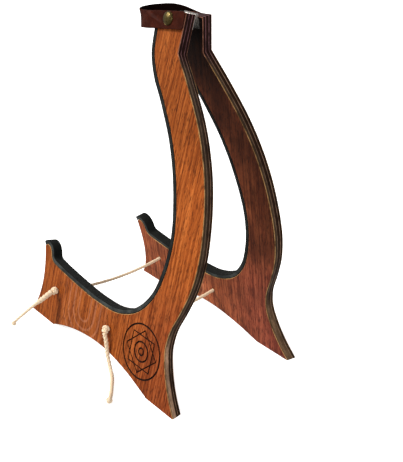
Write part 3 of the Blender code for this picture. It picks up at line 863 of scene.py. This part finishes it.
def make_knot(name, matrix, radius, half_thickness, node, strand=0.37, body="left_panel"):
    """An overhand knot drawn tight: the rope laid along a trefoil, and its turns merged."""
    thick = radius * strand
    reach = radius - thick
    rise = half_thickness - thick
    count = 200
    around = 18
    path = []
    for i in range(count):
        t = tau * i / count
        ring = reach * 0.70 + reach * 0.30 * cos(3 * t)
        path.append(Vector((ring * cos(2 * t), ring * sin(2 * t), rise * sin(3 * t))))
    rows = []
    for i, point in enumerate(path):
        tangent = (path[(i + 1) % count] - path[i - 1]).normalized()
        across = tangent.cross(Vector((point.x, point.y, 0)).normalized()).normalized()
        up = tangent.cross(across)
        row = []
        for j in range(around):
            lobe = tau * j / around
            angle = lobe + tau * 6 * i / count
            r = thick * (0.80 + 0.2 * abs(cos(1.5 * lobe)))
            row.append(point + across * (r * cos(angle)) + up * (r * sin(angle)))
        rows.append(row)
    piece = skin(name, rows, [JUTE], closed=True)
    modify(piece, "REMESH", mode="VOXEL", voxel_size=radius / 20)
    bake(piece)
    piece.data.materials.clear()
    piece.data.materials.append(JUTE)
    piece.data.shade_smooth()
    piece.matrix_world = matrix
    stand_in(piece, [node], body)
    return piece


def span_route(x):
    """Through both holes square to the panels, sagging evenly between them."""
    y = ROPE_H - PIN_HEIGHT
    mouths = [in_world("left", x, y, w) for w in (OUTER_W, INNER_W)]
    mouths += [in_world("right", x, y, w) for w in (INNER_W, OUTER_W)]
    sag = (mouths[2].y - mouths[1].y) * sin(SPLAY) / cos(SPLAY) / 4
    between = []
    parts = 14
    for i in range(1, parts):
        u = i / parts
        point = mouths[1].lerp(mouths[2], u)
        point.z -= 4 * sag * u * (1 - u)
        between.append(point)
    return mouths[:2] + between + mouths[2:]


def make_ropes():
    for place, x in ROPE_X.items():
        route = [Vector(point) * MM for point in TAIL_ROUTE[place]]
        route.insert(0, route[0] + (route[0] - route[1]).normalized() * INTO_KNOT)
        path = even_line(smooth_run(route, LINE_STEP), 2 * LINE_STEP)
        tail = make_rope(place + "_tail", path, place + "_rope_tail", TAIL_R[place],
                         TAIL_TAPER[place])
        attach(tail, "left_panel")
        tilt = Matrix.Rotation(END_KNOT_TILT, 4, "Y")
        end_at = Matrix.Translation(Vector(END_KNOT_AT[place]) * MM) @ tilt
        end = make_knot(place + "_end_knot", end_at, END_KNOT_R[place], END_KNOT_R[place] * 0.98,
                        place + "_rope_end_knot", END_KNOT_STRAND)
        span = make_rope(place + "_span", span_route(x), place + "_rope_span")
        y = ROPE_H - PIN_HEIGHT
        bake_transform(span)
        for side in SIDES:
            matrix = placed_at(side, x, y, OUTER_W + GAP + KNOT_HALF_T)
            matrix @= Matrix.Rotation(KNOT_TURN[place], 4, "Z")
            make_knot(f"{place}_stopper_{side}", matrix, KNOT_R * KNOT_SLACK, KNOT_HALF_T,
                      f"{place}_rope_knot_{side}", body=BODY[side])


# ---- panels ----

def mark_lines():
    """The mark as closed lines: rings, and an eight-pointed star of two squares."""
    for share, sides, turn in MARK_SHAPES:
        radius = MARK_R * share
        yield [(radius * cos(turn + tau * i / sides), radius * sin(turn + tau * i / sides), 0)
               for i in range(sides)]


def line_cutter(points):
    """A round bar along a closed line of the mark, just breaking the panel's outer face."""
    curve = bpy.data.curves.new("mark", "CURVE")
    curve.dimensions = "3D"
    curve.bevel_depth = MARK_LINE_R
    curve.bevel_resolution = 2
    spline = curve.splines.new("POLY")
    spline.points.add(len(points) - 1)
    for knot, place in zip(spline.points, points):
        knot.co = (*place, 1)
    spline.use_cyclic_u = True
    bar = in_scene(bpy.data.objects.new("mark", curve))
    bpy.context.view_layer.update()
    mesh = mesh_of(bar)
    bpy.data.objects.remove(bar, do_unlink=True)
    mesh.materials.clear()
    mesh.materials.append(BURNT)
    cutter = in_scene(bpy.data.objects.new("mark", mesh))
    cutter.matrix_world = placed_at("left", *MARK_AT, OUTER_W + MARK_PROUD)
    return outward(cutter)


def engrave(piece, cutters):
    """Cut shapes into a piece, and after each cut weld the slivers that it leaves."""
    for cutter in cutters:
        modify(piece, "BOOLEAN", object=cutter, solver="EXACT", material_mode="TRANSFER")
        bake(piece)
        bpy.data.objects.remove(cutter, do_unlink=True)
        with edited(piece) as shape:
            bmesh.ops.remove_doubles(shape, verts=shape.verts, dist=SLIVER)
            bmesh.ops.dissolve_degenerate(shape, edges=shape.edges, dist=SLIVER)


def level_feet(piece, side):
    """Cut the feet level with the floor."""
    to_panel = panel_matrix(side).inverted()
    with edited(piece) as shape:
        cut = bmesh.ops.bisect_plane(shape, geom=shape.verts[:] + shape.edges[:] + shape.faces[:],
                                     dist=1e-7, plane_co=to_panel @ Vector((0, 0, FOOT_CLEAR)),
                                     plane_no=to_panel.to_3x3() @ Vector((0, 0, 1)),
                                     clear_inner=True)
        edges = [item for item in cut["geom_cut"] if isinstance(item, bmesh.types.BMEdge)]
        bmesh.ops.holes_fill(shape, edges=edges)
        bmesh.ops.recalc_face_normals(shape, faces=shape.faces)


def plywood_rim():
    """Rings of a panel's rim, with a fine groove along each pale ply."""
    rings = eased(INNER_W, OUTER_W, PANEL_EASE)
    half = len(rings) // 2
    grooves = []
    for share in sorted(GLUE_LINES, reverse=True):
        w = INNER_W + share * PANEL_T
        grooves += [(0, w + GROOVE_HALF), (GLUE_GROOVE, w), (0, w - GROOVE_HALF)]
    return rings[:half] + grooves + rings[half:]


def make_panel(side):
    node = side + "_panel"
    outline, *holes = face_loops(node, side, OUTER_W)[:3]
    sole = -PIN_HEIGHT + 0.1 * MM
    sunk = [Vector((p.x, p.y - FOOT_OVERRUN)) if p.y < sole else p for p in outline]
    loops = [wound(closed_smooth(sunk, OUTLINE_STEP), True)]
    loops += [wound(hole, False) for hole in holes]
    materials = [OUTER_WOOD, INNER_WOOD_PAINTED_SHADE, EDGE_WOOD[side]]
    piece = slab(side + "_plywood", loops, side, plywood_rim(), materials)
    level_feet(piece, side)
    colour_sides(piece, side)
    if side == "left":
        engrave(piece, [line_cutter(points) for points in mark_lines()])
    stand_in(shade(piece), [node], node)


def colour_sides(piece, side):
    """Outer veneer outside, its darker copy with painted shade between the panels, ply on the rim.
    """
    for polygon in piece.data.polygons:
        tilt = polygon.normal.z * -SIDES[side]
        polygon.material_index = 0 if tilt > 0.97 else 1 if tilt < -0.97 else 2


def make_liner(side):
    node = side + "_liner"
    low, high = reach_of(node, side)
    outline = face_loops(node, side, high)[0]
    loop = wound(closed_smooth(outline, OUTLINE_STEP), True)
    piece = slab(side + "_foam", [loop], side, eased(low, high, LINER_EASE), [FOAM_SIDE, FOAM_TOP])
    for vertex in piece.data.vertices:
        vertex.co += noise.noise_vector(vertex.co * 45) * LINER_RIPPLE
    stand_in(shade(piece), [node], BODY[side])


# ---- strap and press stud ----

def up_panel(side):
    return (panel_matrix(side).to_3x3() @ Vector((0, 1, 0))).normalized()


def make_strap():
    """One strip of leather: fixed tab, loop round the front, and flap with the press stud."""
    path = [in_world("right", x * MM, h * MM - PIN_HEIGHT, TAB_W) for x, h in TAB_RUN]
    tab_length = length_of(path) + TAB_MARGIN
    path += [Vector(p) * MM for p in LOOP_RUN]
    flap = [in_world("left", x * MM, h * MM - PIN_HEIGHT, FLAP_W) for x, h in FLAP_RUN]
    line = even_line(smooth_run(path + flap, LINE_STEP), STRAP_STEP)
    total = length_of(line)
    flap_start = total - length_of(smooth_run(flap, LINE_STEP))
    snap_along = total - (flap[-1] - in_world("left", *SNAP_AT, FLAP_W)).length
    rows = []
    uvs = []
    for i, (point, along) in enumerate(zip(line, lengths_along(line))):
        tangent = tangent_at(line, i)
        share = min(1.0, max(0.0, (along - tab_length) / (flap_start - tab_length)))
        across = up_panel("right").lerp(up_panel("left"), share)
        across.x -= LOOP_LEAN * gently(share / LEAN_EASE) * gently((1 - share) / LEAN_EASE)
        across = (across - tangent * across.dot(tangent)).normalized()
        outside = tangent.cross(across)
        end = min(along, total - along)
        trim = 0.0
        if end < STRAP_CORNER:
            trim = STRAP_CORNER - sqrt(STRAP_CORNER ** 2 - (STRAP_CORNER - end) ** 2)
        row = []
        crept = gently(1 - (total - along) / STRETCH_RUN)
        for u, v in strap_section(STRAP_WIDTH / 2 - trim, STRAP_T / 2):
            lift = strap_relief(along, u, snap_along)
            shift = crept * (FLAP_STRETCH + END_SLANT * (u + STRAP_WIDTH / 2))
            row.append(point + tangent * shift + across * u + outside * (v + lift))
            uvs.append((along, u + (FLESH_SHIFT if v < 0 else 0.0)))
        rows.append(row)
    piece = skin("strap", rows, [LEATHER_OUT, LEATHER_IN], uvs=uvs)
    section = strap_section(1, 1)
    in_rows = len(line) * len(section)
    for polygon in piece.data.polygons:
        corners = [index % len(section) for index in polygon.vertices if index < in_rows]
        inner = sum(1 for corner in corners if section[corner][1] < -0.5)
        polygon.material_index = 1 if inner > len(corners) / 2 else 0
    stand_in(shade(piece, 50), ["neck_strap", "strap_anchor_tab"])
    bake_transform(piece)


def strap_section(half_width, half_thickness):
    """A flat section with rounded edges: (across, outward) points, once round."""
    flat = half_width - half_thickness
    samples = 14
    edge = [pi * i / 6 for i in range(1, 6)]
    top = [(flat * (1 - 2 * i / samples), half_thickness) for i in range(samples + 1)]
    left = [(-flat - half_thickness * sin(a), half_thickness * cos(a)) for a in edge]
    return top + left + [(-u, -v) for u, v in top + left]


def strap_relief(along, u, snap_along):
    """How far the leather stands out of its plane: a diagonal crease and a dip at the snap."""
    s = along - snap_along
    dip = -0.35 * MM * bell(sqrt(s ** 2 + u ** 2), 9 * MM)
    past = s + 29 * MM + 2.1 * u
    fold = 1.2 * MM * bell(past, 6 * MM) - 0.7 * MM * bell(past - 13 * MM, 8 * MM)
    slack = 0.25 * MM * sin(along * 95) * cos(u * 60)
    calm = gently((along - 60 * MM) / (20 * MM))
    return dip + (fold * gently((u + 9 * MM) / (8 * MM)) + slack) * calm


def bell(distance, width):
    return exp(-(distance / width) ** 2)


def domed(radius, rim, height, steps=14):
    """Profile of a dome with a raised rim, from its top down to the edge of its underside."""
    dome = [(0.0, height)]
    for i in range(1, steps + 1):
        a = pi / 2 * i / steps
        dome.append((radius * 0.93 * sin(a), rim + (height - rim) * cos(a)))
    return dome + [(radius * 0.95, rim * 0.8), (radius * 0.985, rim * 1.1), (radius, rim * 0.8),
                   (radius, rim * 0.2), (radius * 0.97, 0.0)]


def make_snap():
    """The press stud: cap and socket on the strap, stud on the left panel."""
    post = -STRAP_T - GAP
    profile = domed(CAP_R, 0.8 * MM, CAP_HEIGHT) + [(2 * MM, 0), (2 * MM, post), (0.0, post)]
    cap = turned("snap_dome", profile, [BRASS], "left", (*SNAP_AT, FLAP_W + STRAP_T / 2 + GAP))
    stand_in(shade(cap), ["snap_cap"], "neck_strap")
    low, high = reach_of("snap_socket", "left")
    thick = high - low
    profile = [(r * MM, -z * MM) for r, z in SOCKET_RING]
    profile += [(r, -thick - z) for r, z in profile[::-1]]
    socket = turned("snap_ring", profile, [BRASS], "left", (*SNAP_AT, high), ring=True)
    stand_in(shade(socket), ["snap_socket"], "neck_strap")
    low, high = reach_of("snap_stud", "left")
    top = high - OUTER_W - GAP
    profile = [(0.0, top), (1.7 * MM, top), (2 * MM, top - 0.3 * MM), (2 * MM, top - 0.9 * MM)]
    profile += [(r * MM, z * MM) for r, z in STUD_BASE]
    stud = turned("snap_post", profile, [BRASS], "left", (*SNAP_AT, OUTER_W + GAP))
    stand_in(shade(stud), ["snap_stud"], "left_panel")


# ---- hinge and screws ----

def make_screws():
    """Countersunk hinge screws and round-headed strap screws, each with a cross recess."""
    flat = [(0.0, 0.0), (SCREW_HEAD_R - 0.15 * MM, 0.0), (SCREW_HEAD_R, -0.12 * MM),
            (SCREW_R, -LEAF_T)]
    shank = [(SCREW_R, -SCREW_LENGTH + 2 * MM), (0.0, -SCREW_LENGTH)]
    for side in SIDES:
        for number, (x, y) in enumerate(HINGE_SCREWS, 1):
            screw = turned(f"{side}_countersunk_{number}", flat + shank, [NICKEL], side,
                           (x * MM, y * MM, LEAF_INNER_W), away=False, around=40)
            engrave(screw, cross_cutters(screw, 3.4 * MM, 0.8 * MM, 0.9 * MM, 0.0))
            node = f"{side}_hinge_screw_{number}"
            stand_in(shade(screw), [node], BODY[side])
    round_head = domed(TAB_SCREW_HEAD_R, 0.3 * MM, 2 * MM, 8)
    shank = [(SCREW_R, 0.0), (SCREW_R, -TAB_SCREW_LENGTH + 2 * MM), (0.0, -TAB_SCREW_LENGTH)]
    for number, (x, h) in enumerate(TAB_SCREWS, 1):
        screw = turned(f"tab_screw_{number}", round_head + shank, [BRASS], "right",
                       (x * MM, h * MM - PIN_HEIGHT, TAB_W + STRAP_T / 2 + GAP), around=40)
        engrave(screw, cross_cutters(screw, 4.4 * MM, 1.0 * MM, 1.0 * MM, 1.9 * MM))
        stand_in(shade(screw), [f"strap_screw_{number}"], "right_panel")


def finish_frame():
    """The hinge's CAD nodes stay, with eased edges."""
    for item in frame["nodes"].values():
        if item.hide_render:
            continue
        item.data.materials.clear()
        item.data.materials.append(NICKEL)
        modify(item, "WELD", merge_threshold=0.001 * MM)
        modify(item, "BEVEL", width=0.2 * MM, segments=2, angle_limit=radians(40))
        modify(item, "WEIGHTED_NORMAL", keep_sharp=True)


# ---- stage ----

FLOOR_HALF = 12
BACKDROP_R = 9
BACKDROP_TOP = 14
SUNS = {  # direction, strength, spread in degrees, colour
    "key": ((-0.50, -0.60, 0.62), 3.05, 22, (1.0, 0.98, 0.95)),
    "fill": ((-0.35, 0.88, 0.32), 0.9, 40, (1, 1, 1)),
    "rim": ((0.92, -0.36, 0.14), 0.8, 10, (1, 1, 1)),
}
WORLD_STRENGTH = 0.45


def make_floor():
    """A white floor and a round white backdrop that takes no part in the lighting."""
    glow = floor_look()
    corners = [(x * FLOOR_HALF, y * FLOOR_HALF, 0) for x, y in ((-1, -1), (1, -1), (1, 1), (-1, 1))]
    floor = new_piece("floor", corners, [(0, 1, 2, 3)], [glow])
    around = 64
    turns = [tau * i / around for i in range(around)]
    wall = [(BACKDROP_R * cos(a), BACKDROP_R * sin(a), z) for z in (0, BACKDROP_TOP) for a in turns]
    faces = [(i, around + i, around + (i + 1) % around, (i + 1) % around) for i in range(around)]
    backdrop = new_piece("backdrop", wall, faces, [glow])
    backdrop.visible_shadow = False
    for item in (floor, backdrop):
        item.visible_diffuse = False
        item.visible_glossy = False


def make_lighting():
    for name, (towards, strength, spread, colour) in SUNS.items():
        lamp = bpy.data.lights.new(name, "SUN")
        lamp.energy = strength
        lamp.angle = radians(spread)
        lamp.color = colour
        item = in_scene(bpy.data.objects.new(name, lamp))
        item.rotation_euler = Vector(towards).to_track_quat("Z", "Y").to_euler()
    world = bpy.data.worlds.new("studio")
    world.use_nodes = True
    background = world.node_tree.nodes["Background"]
    background.inputs["Color"].default_value = (1, 1, 1, 1)
    background.inputs["Strength"].default_value = WORLD_STRENGTH
    bpy.context.scene.world = world
    bpy.context.scene.view_settings.view_transform = "Standard"


make_ropes()
for panel_side in SIDES:
    make_panel(panel_side)
    make_liner(panel_side)
make_strap()
make_snap()
make_screws()
finish_frame()
make_floor()
make_lighting()
